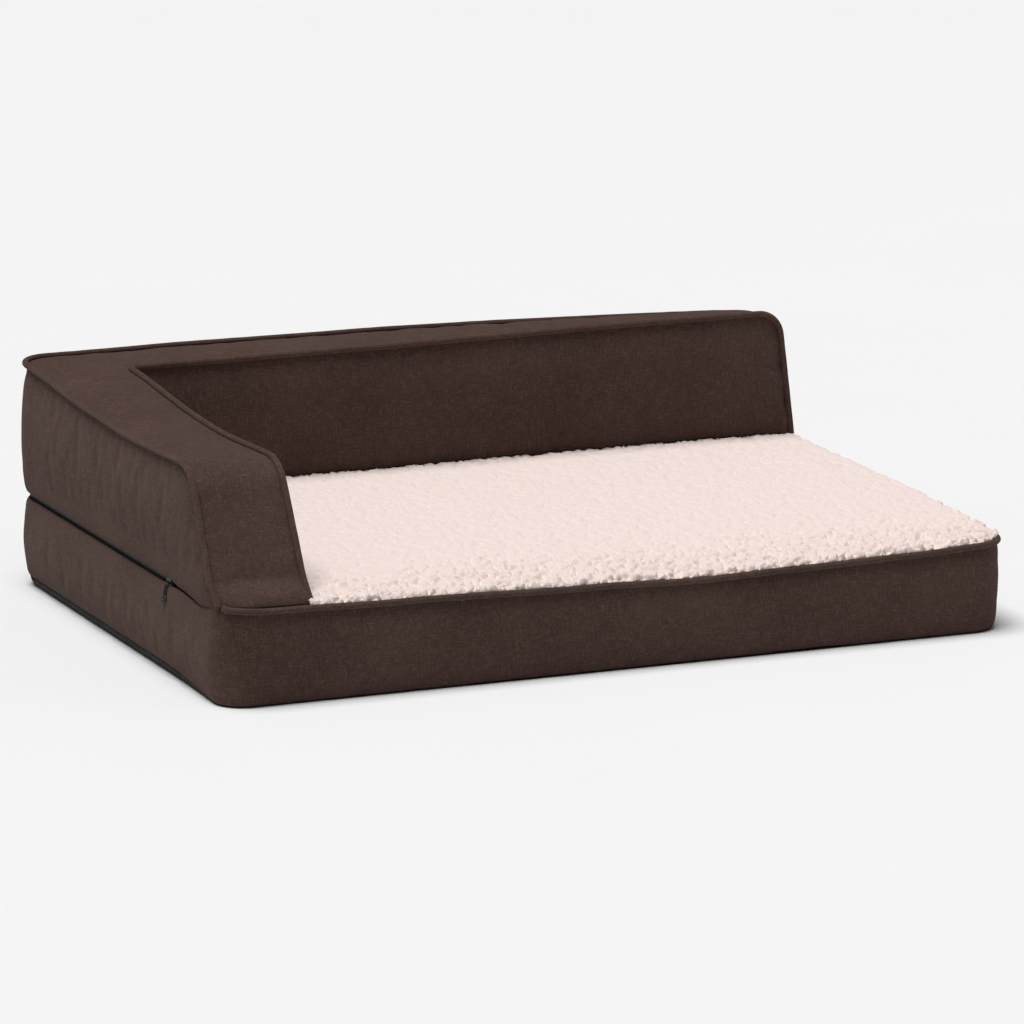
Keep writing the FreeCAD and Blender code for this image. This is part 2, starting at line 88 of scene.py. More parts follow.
class BedSizes(bpy.types.PropertyGroup):
    fabric: FloatProperty(name="Fabric", description="Thickness of the woven cover", default=1.2 * MM,
                          unit="LENGTH", precision=4)
    piping: FloatProperty(name="Piping", description="Radius of the covered welt cord", default=3.5 * MM,
                          unit="LENGTH", precision=4)
    mattress_corner: FloatProperty(name="Mattress corner", description="Radius of its upright corners",
                                   default=34 * MM, unit="LENGTH")
    front_sag: FloatProperty(name="Front sag", description="How far the front seam dips in its middle",
                             default=11 * MM, unit="LENGTH")
    arm_sag: FloatProperty(name="Arm sag", description="How far the top of the side bolster dips",
                           default=11 * MM, unit="LENGTH")
    back_drop: FloatProperty(name="Back drop", description="How far the rear top seam falls to its free end",
                             default=18 * MM, unit="LENGTH")
    curl: FloatProperty(name="Curl", description="Size of one curl of the fleece", default=12.5 * MM,
                        unit="LENGTH")
    spare: FloatProperty(name="Spare fabric", description="How much wider the cover is cut than the foam",
                         default=0.006, subtype="FACTOR")


class BedColours(bpy.types.PropertyGroup):
    thread: FloatVectorProperty(name="Thread", description="Main thread of the cover", subtype="COLOR",
                                default=(0.084, 0.0475, 0.038))
    slub: FloatVectorProperty(name="Slub", description="Lighter, thicker thread of the cover",
                              subtype="COLOR", default=(0.192, 0.118, 0.095))
    fleece: FloatVectorProperty(name="Fleece", description="Tips of the fleece", subtype="COLOR",
                                default=(0.70, 0.60, 0.55))
    black: FloatVectorProperty(name="Black", description="Bottom fabric and zip", subtype="COLOR",
                               default=(0.012, 0.012, 0.013))


def sizes():
    return bpy.context.scene.bed_sizes


def colours():
    return bpy.context.scene.bed_colours


# Shader maths as expressions.

class Wire:
    """A socket of a material's node tree, with operators that add Math nodes."""

    def __init__(self, tree, socket):
        self.tree, self.socket = tree, socket

    def maths(self, operation, *values):
        return self.node("ShaderNodeMath", {"operation": operation}, values)

    def node(self, kind, settings, inputs, output=0):
        """Any other node: its type, its settings and the values or links of its sockets."""
        made = self.tree.nodes.new(kind)
        for name, setting in settings.items():
            setattr(made, name, setting)
        pairs = inputs.items() if isinstance(inputs, dict) else enumerate(inputs)
        for name, given in pairs:
            if isinstance(given, Wire):
                self.tree.links.new(given.socket, made.inputs[name])
            else:
                made.inputs[name].default_value = given
        return Wire(self.tree, made.outputs[output])

    def __add__(self, other):
        return self.maths("ADD", self, other)

    def __sub__(self, other):
        return self.maths("SUBTRACT", self, other)

    def __rsub__(self, other):
        return self.maths("SUBTRACT", other, self)

    def __mul__(self, other):
        return self.maths("MULTIPLY", self, other)

    def __truediv__(self, other):
        return self.maths("DIVIDE", self, other)

    def __pow__(self, other):
        return self.maths("POWER", self, other)

    def clamped(self, low, high):
        """0 below low, 1 above high and smooth between."""
        return self.node("ShaderNodeMapRange", {"interpolation_type": "SMOOTHSTEP"},
                         {"Value": self, "From Min": low, "From Max": high})

    def scaled(self, by):
        """This vector with each part multiplied."""
        return self.node("ShaderNodeVectorMath", {"operation": "MULTIPLY"}, [self, by])

    def part(self, axis):
        return self.node("ShaderNodeSeparateXYZ", {}, [self], axis)

    def noise(self, scale, detail=2.0, roughness=0.5, distortion=0.0):
        return self.node("ShaderNodeTexNoise", {}, {
            "Vector": self, "Scale": scale, "Detail": detail,
            "Roughness": roughness, "Distortion": distortion})

    def cells(self, scale):
        """Distance to the nearest of scattered points."""
        return self.node("ShaderNodeTexVoronoi", {}, {"Vector": self, "Scale": scale})

    def between(self, low, high):
        """A colour from low, where this is 0, to high, where it is 1."""
        return self.node("ShaderNodeMix", {"data_type": "RGBA"}, {0: self, 6: low, 7: high}, 2)


def rgba(colour, times=1.0):
    return (*(part * times for part in colour), 1.0)


def material(name, paint, **surface):
    """A Principled material; paint returns its colour, roughness and height in metres."""
    made = bpy.data.materials.new(name)
    made.use_nodes = True
    tree = made.node_tree
    shader = tree.nodes["Principled BSDF"]
    for socket, number in surface.items():
        shader.inputs[socket.replace("_", " ")].default_value = number
    coordinates = tree.nodes.new("ShaderNodeTexCoord")
    place = Wire(tree, coordinates.outputs["Object"])
    cloth = Wire(tree, coordinates.outputs["UV"])
    colour, roughness, height = paint(place, cloth)
    tree.links.new(colour.socket, shader.inputs["Base Color"])
    if isinstance(roughness, Wire):
        tree.links.new(roughness.socket, shader.inputs["Roughness"])
    else:
        shader.inputs["Roughness"].default_value = roughness
    if height is not None:
        bump = height.node("ShaderNodeBump", {}, {"Height": height, "Strength": 1.0, "Distance": 1.0})
        tree.links.new(bump.socket, shader.inputs["Normal"])
    return made


def weave(cloth, pitch):
    """Two sets of threads over and under: (height from 0 to 1, which set is on top)."""
    across, along = cloth.part(0) / pitch, cloth.part(1) / pitch
    wave_u = across.maths("SINE", across * math.pi)
    wave_v = along.maths("SINE", along * math.pi)
    over = (wave_u * wave_v).clamped(-0.25, 0.25)
    round_u = (wave_u * wave_u) ** 0.5
    round_v = (wave_v * wave_v) ** 0.5
    return round_u * over + round_v * (1 - over), over


def linen(place, cloth):
    """Dark linen-look weave: uneven two-tone threads with slubs, faint cloudy wear, and painted shade in the
    gaps between threads.
    """
    tone = colours()
    height, over = weave(cloth, 0.62 * MM)
    long_streak = cloth.scaled((60, 1400, 0)).noise(1.0, 3, 0.6)
    high_streak = cloth.scaled((1400, 60, 0)).noise(1.0, 3, 0.6)
    streak = long_streak * over + high_streak * (1 - over)
    slub = streak.clamped(0.5, 0.72)
    cloud = place.noise(9.0, 4, 0.6)
    fleck = place.noise(420.0, 2, 0.6).clamped(0.45, 0.75)
    # height * 0.12 is painted shade: the thread crowns lighter and the gaps between threads darker.
    mix = slub * 0.62 + fleck * 0.24 + (cloud - 0.5) * 0.35 + height * 0.12
    colour = mix.between(rgba(tone.thread, 0.6), rgba(tone.slub))
    return colour, 0.92 - slub * 0.08, height * (0.10 * MM) + slub * (0.1 * MM)


def bottom_cloth(place, cloth):
    tone = colours().black
    height, _ = weave(cloth, 0.9 * MM)
    dots = place.cells(160.0).clamped(0.34, 0.28)
    colour = (place.noise(300.0) * 0.7).between(rgba(tone), rgba(tone, 2.6))
    return colour, 0.85 - dots * 0.3, height * (0.08 * MM) + dots * (0.3 * MM)


def plain(low, high, scale, roughness, depth):
    """A paint of two close tones in a fine grain, with a bump of that grain."""
    def paint(place, cloth):
        grain = place.noise(scale, 4, 0.6)
        return grain.between(rgba(low), rgba(high)), roughness, grain * depth
    return paint


def fleece_pile(place, cloth):
    """Curly pile: pale tips, with painted shade down between the curls, darker and a little pinker."""
    tone = colours().fleece
    strand = place.noise(700.0, 3, 0.7, 1.5)
    pile = place.node("ShaderNodeAttribute", {"attribute_name": "pile"}, [], 2)
    knot = place.cells(210.0).clamped(0.0, 0.85)
    # depth is painted shade: darker low in the pile, away from the knots and where the strands are low.
    depth = (1 - pile).clamped(0.2, 0.72) + knot * 0.1 + (1 - strand).clamped(0.4, 0.8) * 0.18
    colour = depth.between(rgba(tone), (tone[0] * 0.5, tone[1] * 0.33, tone[2] * 0.27, 1.0))
    return colour, 0.95, (1 - knot) * (0.7 * MM) + strand * (0.5 * MM)


def finish(name):
    """A material by name, made the first time it is asked for."""
    found = bpy.data.materials.get(name)
    if found:
        return found
    black = colours().black
    paint, surface = {
        "linen": (linen, {"Specular_IOR_Level": 0.12, "Sheen_Weight": 0.07, "Sheen_Roughness": 0.5,
                          "Sheen_Tint": (1.0, 0.78, 0.66, 1.0)}),
        "bottom": (bottom_cloth, {"Specular_IOR_Level": 0.2}),
        "fleece": (fleece_pile, {"Specular_IOR_Level": 0.1}),
        "foam": (plain((0.62, 0.56, 0.38), (0.78, 0.72, 0.52), 500.0, 0.95, 0.5 * MM), {}),
        "tape": (plain(black, [c * 2.2 for c in black], 1500.0, 0.85, 0.1 * MM), {}),
        "coil": (plain(black, [c * 1.3 for c in black], 800.0, 0.7, 0.05 * MM), {"Specular_IOR_Level": 0.2}),
        "zip_metal": (plain([c * 1.2 for c in black], [c * 3.0 for c in black], 350.0, 0.38, 0.04 * MM),
                      {"Metallic": 0.6}),
    }[name]
    return material(name, paint, **surface)


# Lines in space.

def rounded_line(corners, closed=False):
    """Points along straight runs joined by arcs of each corner's radius, and each corner's middle index."""
    count = len(corners)
    points, marks = [], []
    for i, (here, bend) in enumerate(corners):
        here = Vector(here)
        if not closed and i in (0, count - 1):
            marks.append(len(points))
            points.append(here)
            continue
        before, after = Vector(corners[i - 1][0]), Vector(corners[(i + 1) % count][0])
        arriving, leaving = (here - before).normalized(), (after - here).normalized()
        half = arriving.angle(leaving) / 2
        start = here - arriving * bend * math.tan(half)
        centre = here + (leaving - arriving).normalized() * bend / math.cos(half)
        axis = arriving.cross(leaving).normalized()
        parts = max(4, 2 * math.ceil(bend * half / ARC_STEP))
        arc = [centre + Quaternion(axis, 2 * half * k / parts) @ (start - centre) for k in range(parts + 1)]
        marks.append(len(points) + parts // 2)
        points += arc
    if closed:
        points.append(points[0].copy())
    return points, marks


class Line:
    """A polyline that is read by length."""

    def __init__(self, points):
        self.points, self.far = points, [0.0]
        for here, there in zip(points, points[1:]):
            self.far.append(self.far[-1] + (there - here).length)

    def at(self, length):
        length = min(max(length, 0.0), self.far[-1])
        low, high = 0, len(self.far) - 1
        while high - low > 1:
            middle = (low + high) // 2
            if self.far[middle] <= length:
                low = middle
            else:
                high = middle
        run = self.far[high] - self.far[low]
        return self.points[low].lerp(self.points[high], (length - self.far[low]) / run if run else 0.0)

    def spread(self, start, end, parts):
        return [self.at(start + (end - start) * i / parts) for i in range(parts + 1)]


def section_points(corners, counts):
    """Points on a rounded line, with a set number of steps between the middles of its corners."""
    points, marks = rounded_line(corners)
    line = Line(points)
    stops = [line.far[m] for m in marks]
    found = [points[0]]
    for start, end, parts in zip(stops, stops[1:], counts):
        found += line.spread(start, end, parts)[1:]
    return found


def smooth_curve(knots, x):
    """A smooth value through (place, value) knots, level outside them."""
    if x <= knots[0][0]:
        return knots[0][1]
    for (x0, y0), (x1, y1) in zip(knots, knots[1:]):
        if x <= x1:
            t = (x - x0) / (x1 - x0)
            return y0 + (y1 - y0) * t * t * (3 - 2 * t)
    return knots[-1][1]


def plan_normals(points, side):
    """Level outward directions along a line: side is 1 to the left of its run and -1 to the right."""
    found = []
    for i in range(len(points)):
        run = points[min(i + 1, len(points) - 1)] - points[max(i - 1, 0)]
        level = Vector((run.x, run.y, 0))
        if level.length < 1e-6:
            found.append(found[-1] if found else Vector((-1, 0, 0)))
        else:
            level.normalize()
            found.append(Vector((-level.y, level.x, 0)) * side)
    return found


# Meshes.

def new_object(name, bm, *materials):
    mesh = bpy.data.meshes.new(name)
    bm.to_mesh(mesh)
    bm.free()
    for made in materials:
        mesh.materials.append(made)
    mesh.shade_smooth()
    made = bpy.data.objects.new(name, mesh)
    bpy.context.scene.collection.objects.link(made)
    return made


def panel(bm, columns, rows, place, uv_of=None, material_index=0):
    """A grid whose points go to place(i, j), with a UV map in metres from uv_of(i, j)."""
    uv = bm.loops.layers.uv.verify()
    grid = bmesh.ops.create_grid(bm, x_segments=columns, y_segments=rows, size=0.5)
    cells = {}
    for vert in grid["verts"]:
        cells[vert] = (round((vert.co.x + 0.5) * columns), round((vert.co.y + 0.5) * rows))
    for vert, (i, j) in cells.items():
        vert.co = place(i, j)
    faces = {face for vert in grid["verts"] for face in vert.link_faces}
    for face in faces:
        face.material_index = material_index
        if uv_of:
            for loop in face.loops:
                loop[uv].uv = uv_of(*cells[loop.vert])
    return cells


def open_rim(bm, below=math.inf):
    """The edges with only one face, whose first end lies below a height."""
    return [edge for edge in bm.edges if edge.is_boundary and edge.verts[0].co.z < below]


def close_rim(bm, rim, material_index):
    """Closes a loop of edges with triangles."""
    made = bmesh.ops.contextual_create(bm, geom=rim)["faces"]
    for face in bmesh.ops.triangulate(bm, faces=made)["faces"]:
        face.material_index = material_index


# The seams of the bed. Their columns are counted for the foot, the shin, the arm, the back and its end.

COLUMNS = (8, 22, 90, 150, 26)


class Seams:
    """Where the panels meet, from the frame's walls and the sags of a cover over soft foam."""

    def __init__(self):
        size = sizes()
        foot_y = -WALL_Y + 5 * MM
        arm_top, back_top = TOP_Z - 9 * MM, TOP_Z
        foot_z, shin_z = SEAM_Z + 1.5 * MM, SEAM_Z + 24 * MM
        self.outer = section_points([
            ((-WALL_X + 5 * MM, -WALL_Y + 16.5 * MM, foot_z), 0),
            ((-WALL_X + 1.5 * MM, SHIN_Y + 4 * MM, shin_z + 2 * MM), 50 * MM),
            ((-WALL_X + 4 * MM, NOSE_Y, arm_top), 50 * MM),
            ((-WALL_X + 3 * MM, WALL_Y - 2 * MM, back_top), 30 * MM),
            ((NOSE_X - 2 * MM, WALL_Y - 3 * MM, back_top), 26 * MM),
            ((WALL_X - 11 * MM, WALL_Y - 11 * MM, foot_z), 0),
        ], COLUMNS)
        self.inner = section_points([
            ((ARM_INNER - 2 * MM, foot_y, foot_z), 0),
            ((ARM_INNER - 2 * MM, SHIN_Y - 2 * MM, shin_z), 50 * MM),
            ((ARM_INNER - 5 * MM, NOSE_Y - 6 * MM, arm_top + 1 * MM), 45 * MM),
            ((ARM_INNER - 5 * MM, BACK_INNER + 4 * MM, back_top), 6 * MM),
            ((NOSE_X, BACK_INNER + 4 * MM, back_top + 2 * MM), 26 * MM),
            ((WALL_X - 4 * MM, BACK_INNER + 4 * MM, foot_z), 0),
        ], COLUMNS)
        self.sag(self.outer, size.arm_sag, size.back_drop)
        self.sag(self.inner, size.arm_sag, 0)
        self.outward = plan_normals(self.outer, 1)
        self.inward = plan_normals(self.inner, -1)

    def strip_normal(self, i):
        """The way the top strip faces at a column: up, or out at its two feet."""
        before, after = max(i - 1, 0), min(i + 1, len(self.outer) - 1)
        along = (self.outer[after] - self.outer[before]) + (self.inner[after] - self.inner[before])
        out = (self.inner[i] - self.outer[i]).cross(along).normalized()
        open_side = Vector((0, -1, 0)) if i < len(self.outer) / 2 else Vector((1, 0, 0))
        return -out if out.dot(UP + open_side) < 0 else out

    def raised(self, by):
        """Both seam lines, a little out from the cover, where the piping lies."""
        outer = [p + (self.strip_normal(i) + self.outward[i]) * by for i, p in enumerate(self.outer)]
        inner = [p + (self.strip_normal(i) + self.inward[i]) * by for i, p in enumerate(self.inner)]
        return outer, inner

    def sag(self, points, arm_depth, back_drop):
        """Lets the arm dip in its middle and the back fall towards its free end, but not their feet."""
        foot, shin, arm = COLUMNS[:3]
        front = foot + shin
        for i, point in enumerate(points):
            raised = smooth_curve([(SEAM_Z, 0), (TOP_Z, 1)], point.z)
            if i < front + arm:
                along = (i - front * 0.6) / (arm + front * 0.4)
                if along > 0:
                    point.z -= arm_depth * math.sin(math.pi * min(along, 1.0)) ** 1.5
            else:
                along = min((point.x + WALL_X) / (2 * WALL_X), 1.0)
                point.z -= back_drop * along ** 3 * raised
            point.z += noise.noise(point * 9.0) * 1.2 * MM * raised


def front_dip(x):
    """How far the front seam lies above or below the mattress seam height at x."""
    knots = [(-FRONT_SEAM_END, 0.36), (-0.388, 0.05), (-0.25, -0.23), (-0.03, -0.68), (0.09, -1),
             (0.21, -0.82), (0.33, -0.64), (FRONT_SEAM_END, -0.27)]
    return smooth_curve(knots, x) * sizes().front_sag


def on_zip(point):
    """1 along the zip's stretch and 0 away from it, with a short change between."""
    left = smooth_curve([(ZIP_FRONT - 22 * MM, 0), (ZIP_FRONT, 1)], point.y)
    rear = smooth_curve([(ZIP_END, 1), (ZIP_END + 22 * MM, 0)], point.x)
    return min(left, rear) if point.x < 0 else min(rear, left if point.y < 0 else 1)


def seam_height(point):
    """Height of the top edge of the mattress band at a point on its wall."""
    if point.y < -WALL_Y + 30 * MM and point.x > -WALL_X + 12 * MM:
        return SEAM_Z + front_dip(point.x)
    if point.x > WALL_X - 30 * MM:
        return SEAM_Z + smooth_curve([(-WALL_Y, front_dip(FRONT_SEAM_END)), (BACK_INNER, 2 * MM)], point.y)
    knots = [(-0.316, 4), (-0.29, 3), (-0.245, -3), (-0.19, 0), (0.3, 0.2)]
    return SEAM_Z + smooth_curve(knots, point.y) * MM


def camera():
    data = bpy.data.cameras.new("camera")
    data.sensor_width, data.lens = 36.0, 250.5
    made = bpy.data.objects.new("camera", data)
    bpy.context.scene.collection.objects.link(made)
    made.location = (-2.915, -6.909, 1.807)
    yaw, pitch = math.radians(22.93), math.radians(12.8)
    made.rotation_euler = (math.pi / 2 - pitch, 0, -yaw)
    data.clip_end = 100
    bpy.context.scene.camera = made


# The covers: each is laid out flat between its seams, then filled by cloth simulation.

def section(knots):
    """A smooth line through (outward, up) knots in millimetres, read by its share of the length."""
    points = [Vector((x, y, 0)) * MM for x, y in knots]
    ends = [points[0] * 2 - points[1], *points, points[-1] * 2 - points[-2]]
    fine = []
    for a, b, c, d in zip(ends, ends[1:], ends[2:], ends[3:]):
        for k in range(8):
            t = k / 8
            fine.append(0.5 * (2 * b + (c - a) * t + (2 * a - 5 * b + 4 * c - d) * t * t
                               + (3 * b - a - 3 * c + d) * t ** 3))
    fine.append(points[-1])
    line = Line(fine)
    return lambda share: line.at(share * line.far[-1])


BAND_PIPED = section([(-3, 0), (-0.6, 4), (1.2, 20), (2.4, 50), (2.2, 78), (1.0, 92), (-0.4, 98)])
BAND_ZIPPED = section([(-3, 0), (-0.6, 4), (1.6, 22), (3.2, 48), (3.0, 70), (2.1, 80), (1.1, 89),
                       (0.2, 95.8), (-0.8, 98.0), (-2.2, 98.0)])
OUTER_ZIPPED = section([(-2.0, 0), (-0.4, -0.2), (1.7, 1.6), (4.0, 7), (5.8, 20), (7.0, 45), (6.2, 85),
                        (3.4, 120), (0.6, 138), (0, 143)])
OUTER_PLAIN = section([(-1.5, 0), (0.4, 0.8), (2.4, 3.5), (4.2, 9), (5.8, 22), (7.0, 48), (6.2, 85),
                       (3.4, 120), (0.6, 138), (0, 143)])
INNER_WALL = section([(-4, -2), (-1, 4), (2, 14), (3.8, 40), (4.2, 75), (2.6, 115), (0.6, 138), (0, 143)])


def lifted(section_at, share, rise, top):
    """A section's point with its height stretched so that it ends at rise; top is its drawn height."""
    point = section_at(share)
    return point.x, point.y * rise / top


def puff(piece, pins):
    """Fills a cover with cloth simulation: pinned points stay, and the spare fabric puckers."""
    scene = bpy.context.scene
    seams = piece.vertex_groups.new(name="seams")
    seams.add(pins, 1.0, "REPLACE")
    cloth = piece.modifiers.new("cloth", "CLOTH")
    settings = cloth.settings
    settings.vertex_group_mass = "seams"
    settings.quality = 6
    settings.mass = 0.25
    settings.tension_stiffness = settings.compression_stiffness = 40
    settings.shear_stiffness = 12
    settings.bending_stiffness = 1.2
    settings.use_pressure = True
    settings.uniform_pressure_force = PRESSURE
    settings.shrink_min = -sizes().spare
    settings.effector_weights.gravity = 0
    cloth.collision_settings.use_collision = False
    cloth.point_cache.frame_start, cloth.point_cache.frame_end = 1, FRAMES
    for number in range(1, FRAMES + 1):
        scene.frame_set(number)
    shaped = piece.evaluated_get(bpy.context.evaluated_depsgraph_get()).data
    moved = [vert.co.copy() for vert in shaped.vertices]
    piece.modifiers.remove(cloth)
    for vert, there in zip(piece.data.vertices, moved):
        shift = there - vert.co
        if shift.length > LARGEST_MOVE:
            shift *= LARGEST_MOVE / shift.length
        vert.co += shift
    piece.data.update()
    scene.frame_set(1)


def split_off(whole, name, index, thickness, *materials):
    """The faces of a simulated cover with one material index, as a closed shell of fabric."""
    bm = bmesh.new()
    bm.from_mesh(whole.data)
    bmesh.ops.delete(bm, geom=[f for f in bm.faces if f.material_index != index], context="FACES")
    for face in bm.faces:
        face.material_index = 0
        face.smooth = True
    made = new_object(name, bm, *materials)
    smooth = made.modifiers.new("smooth", "SUBSURF")
    smooth.levels = smooth.render_levels = 1
    shell = made.modifiers.new("thickness", "SOLIDIFY")
    shell.thickness, shell.offset = thickness, -1
    return made


def finished(piece, body, nodes, fill=None):
    """Gives a piece its body and the CAD nodes that it stands for; its padding, fill, is not used."""
    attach(piece, body)
    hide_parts(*nodes)


class BED_OT_mattress_cover(bpy.types.Operator):
    """Side band and bottom fabric of the mattress"""
    bl_idname = "pet_bed.mattress_cover"
    bl_label = "Mattress cover"

    def execute(self, context):
        size = sizes()
        r = size.mattress_corner
        points, _ = rounded_line([((WALL_X, WALL_Y, 0), r), ((-WALL_X, WALL_Y, 0), r),
                                  ((-WALL_X, -WALL_Y, 0), r), ((WALL_X, -WALL_Y, 0), r)], closed=True)
        line = Line(points)
        columns, rows = round(line.far[-1] / MATTRESS_STEP), 18
        wall = line.spread(0, line.far[-1], columns)
        outward = plan_normals(wall, -1)
        outward[0] = outward[-1] = (outward[0] + outward[-1]).normalized()
        zipped = [on_zip(p) for p in wall]
        tops = [seam_height(p) for p in wall]
        left_rise = [(-0.3, 0), (-0.15, 1), (0.28, 1), (0.316, 0.7)]
        feet = [2 * MM + 9 * MM * smooth_curve(left_rise, p.y)
                * smooth_curve([(-WALL_X, 1), (-WALL_X + 0.05, 0)], p.x) for p in wall]

        def band(i, j):
            share = j / rows
            rise = tops[i] - feet[i]
            x_piped, z_piped = lifted(BAND_PIPED, share, rise, 98 * MM)
            x_zipped, z_zipped = lifted(BAND_ZIPPED, share, rise, 100 * MM)
            out = x_piped + (x_zipped - x_piped) * zipped[i]
            up = z_piped + (z_zipped - z_piped) * zipped[i]
            creased = math.sin(math.pi * share) ** 2 * smooth_curve([(-0.12, 0.15), (0.2, 1)], wall[i].y)
            fold = noise.noise(Vector((wall[i].x * 34, wall[i].y * 34, share * 1.3)))
            on_left = smooth_curve([(-WALL_X + 0.02, 1), (-WALL_X + 0.08, 0.3)], wall[i].x)
            out += fold * 1.8 * MM * creased * on_left
            return wall[i] + outward[i] * out + UP * (feet[i] + up)

        bm = bmesh.new()
        panel(bm, columns, rows, band, lambda i, j: (i * MATTRESS_STEP, j * ROW_STEP))
        rim_steps = 6
        under = section([(-2.6, 0), (-2.8, -3.5), (-5, -7.6), (-11, -9), (-40, -9)])

        def bottom(i, j):
            point = under(j / rim_steps)
            drop = point.y * (feet[i] - 0.4 * MM) / (9 * MM)
            return wall[i] + outward[i] * point.x + UP * (feet[i] + drop)

        panel(bm, columns, rim_steps, bottom, lambda i, j: (i * MATTRESS_STEP, -j * 6 * MM), 1)
        bmesh.ops.remove_doubles(bm, verts=bm.verts, dist=WELD)
        close_rim(bm, open_rim(bm, below=10 * MM), 1)
        close_rim(bm, open_rim(bm), 2)
        bmesh.ops.recalc_face_normals(bm, faces=bm.faces)
        bm.verts.index_update()
        held = set()
        for edge in bm.edges:
            kinds = {f.material_index for f in edge.link_faces}
            if kinds != {0}:
                held.update(v.index for v in edge.verts)
        held.update(v.index for v in bm.verts if v.co.z > SEAM_Z - 32 * MM and v.co.x < -WALL_X + 10 * MM)
        cover = new_object("mattress_whole", bm)
        puff(cover, sorted(held))
        band_piece = split_off(cover, "side_band_cover", 0, size.fabric, finish("linen"))
        base_piece = split_off(cover, "bottom_cover", 1, size.fabric, finish("bottom"))
        finished(band_piece, "cushion", ["side_band"], FABRIC_FILL)
        finished(base_piece, "cushion", ["bottom_panel"], FABRIC_FILL)
        bpy.data.objects.remove(cover)
        return {"FINISHED"}


class BED_OT_bolster_cover(bpy.types.Operator):
    """Outer wall, top strip and inner wall of the bolster"""
    bl_idname = "pet_bed.bolster_cover"
    bl_label = "Bolster cover"

    def execute(self, context):
        size = sizes()
        seams = Seams()
        columns = sum(COLUMNS)
        outer, inner = seams.outer, seams.inner
        zipped = [on_zip(p) for p in outer]

        def wall_point(top, out, foot_z, low, other, mix, share):
            """A point of an upright wall below a top seam point; the bulge fades where the wall is low."""
            rise = max(top.z - foot_z, 0.0)
            a, a_up = lifted(low, share, rise, 143 * MM)
            b, b_up = lifted(other, share, rise, 143 * MM)
            off, up = a + (b - a) * mix, a_up + (b_up - a_up) * mix
            return Vector((top.x, top.y, foot_z + up)) + out * off * min(1.0, rise / (50 * MM))

        wall_rows, strip_rows = 24, 18
        feet = [(seam_height(Vector((-WALL_X, p.y, 0))) if p.x < -WALL_X + 0.04 else SEAM_Z)
                - 2.0 * MM + 3.8 * MM * z for p, z in zip(outer, zipped)]

        def outer_wall(i, j):
            foot = min(feet[i], outer[i].z)
            return wall_point(outer[i], seams.outward[i], foot, OUTER_PLAIN, OUTER_ZIPPED, zipped[i],
                              j / wall_rows)

        def inner_wall(i, j):
            foot = min(SEAM_Z + 2 * MM, inner[i].z)
            return wall_point(inner[i], seams.inward[i], foot, INNER_WALL, INNER_WALL, 0,
                              j / wall_rows)

        middle = Vector((-WALL_X + size.mattress_corner, -WALL_Y + size.mattress_corner + 2 * MM, 0))

        def strip(i, j):
            share = j / strip_rows
            point = outer[i].lerp(inner[i], share)
            low = smooth_curve([(SEAM_Z + 1 * MM, 1), (SEAM_Z + 26 * MM, 0)], point.z)
            if i < columns / 2 and low > 0:
                inside = min(max(middle.x - point.x, 0), size.mattress_corner)
                rim = middle.y - math.sqrt(size.mattress_corner ** 2 - inside ** 2)
                point.y += (min(rim + 2 * MM, point.y) - point.y) * low
            crown = 4.5 * MM * math.sin(math.pi * share) ** 0.7
            return point + seams.strip_normal(i) * crown

        bm = bmesh.new()
        for index, (rows, place) in enumerate(((wall_rows, outer_wall), (strip_rows, strip),
                                               (wall_rows, inner_wall))):
            panel(bm, columns, rows, place, lambda i, j: (i * ROW_STEP, j * ROW_STEP), index)
        bmesh.ops.remove_doubles(bm, verts=bm.verts, dist=WELD)
        bmesh.ops.dissolve_degenerate(bm, edges=bm.edges, dist=0.02 * MM)
        close_rim(bm, open_rim(bm), 3)
        bmesh.ops.recalc_face_normals(bm, faces=bm.faces)
        bm.verts.index_update()
        held = set()
        for edge in bm.edges:
            if len({f.material_index for f in edge.link_faces}) > 1:
                held.update(v.index for v in edge.verts)
        held.update(v.index for v in bm.verts if v.co.z < SEAM_Z + 28 * MM and v.co.x < -WALL_X + 6 * MM)
        cover = new_object("bolster_whole", bm)
        puff(cover, sorted(held))
        pieces = (("outer_wall_cover", ["outer_panel", "bolster_lining"]),
                  ("top_strip_cover", ["top_strip"]),
                  ("inner_wall_cover", ["inner_panel"]))
        for index, (name, nodes) in enumerate(pieces):
            made = split_off(cover, name, index, size.fabric, finish("linen"))
            finished(made, "cushion", nodes, FABRIC_FILL)
        bpy.data.objects.remove(cover)
        return {"FINISHED"}


def tube(name, points, radius_at, around, *materials):
    """A closed rod along points, with rounded ends; radius_at takes the length along it."""
    line = Line(points)
    count = len(points) - 1
    runs = [(points[min(i + 1, count)] - points[max(i - 1, 0)]).normalized() for i in range(count + 1)]
    side = runs[0].cross(UP)
    side = side.normalized() if side.length > 0.01 else Vector((1, 0, 0))
    sides = []
    for run in runs:
        side = (side - run * side.dot(run)).normalized()
        sides.append(side.copy())

    def place(i, j):
        turn = 2 * math.pi * j / around
        far = line.far[i]
        end = min(far, line.far[-1] - far)
        full = radius_at(far)
        reach = min(end / full, 1.0)
        radius = full * math.sqrt(max(1 - (1 - reach) ** 2, 0.0)) if reach < 1 else full
        lift = sides[i].cross(runs[i])
        return points[i] + (sides[i] * math.cos(turn) + lift * math.sin(turn)) * radius

    bm = bmesh.new()
    panel(bm, count, around, place, lambda i, j: (line.far[i], j / around * 2 * math.pi * radius_at(0)))
    bmesh.ops.remove_doubles(bm, verts=bm.verts, dist=0.01 * MM)
    bmesh.ops.recalc_face_normals(bm, faces=bm.faces)
    return new_object(name, bm, *materials)


def resampled(points):
    """The same line with evenly spaced points."""
    line = Line(points)
    return line.spread(0, line.far[-1], max(2, round(line.far[-1] / PIPING_STEP)))


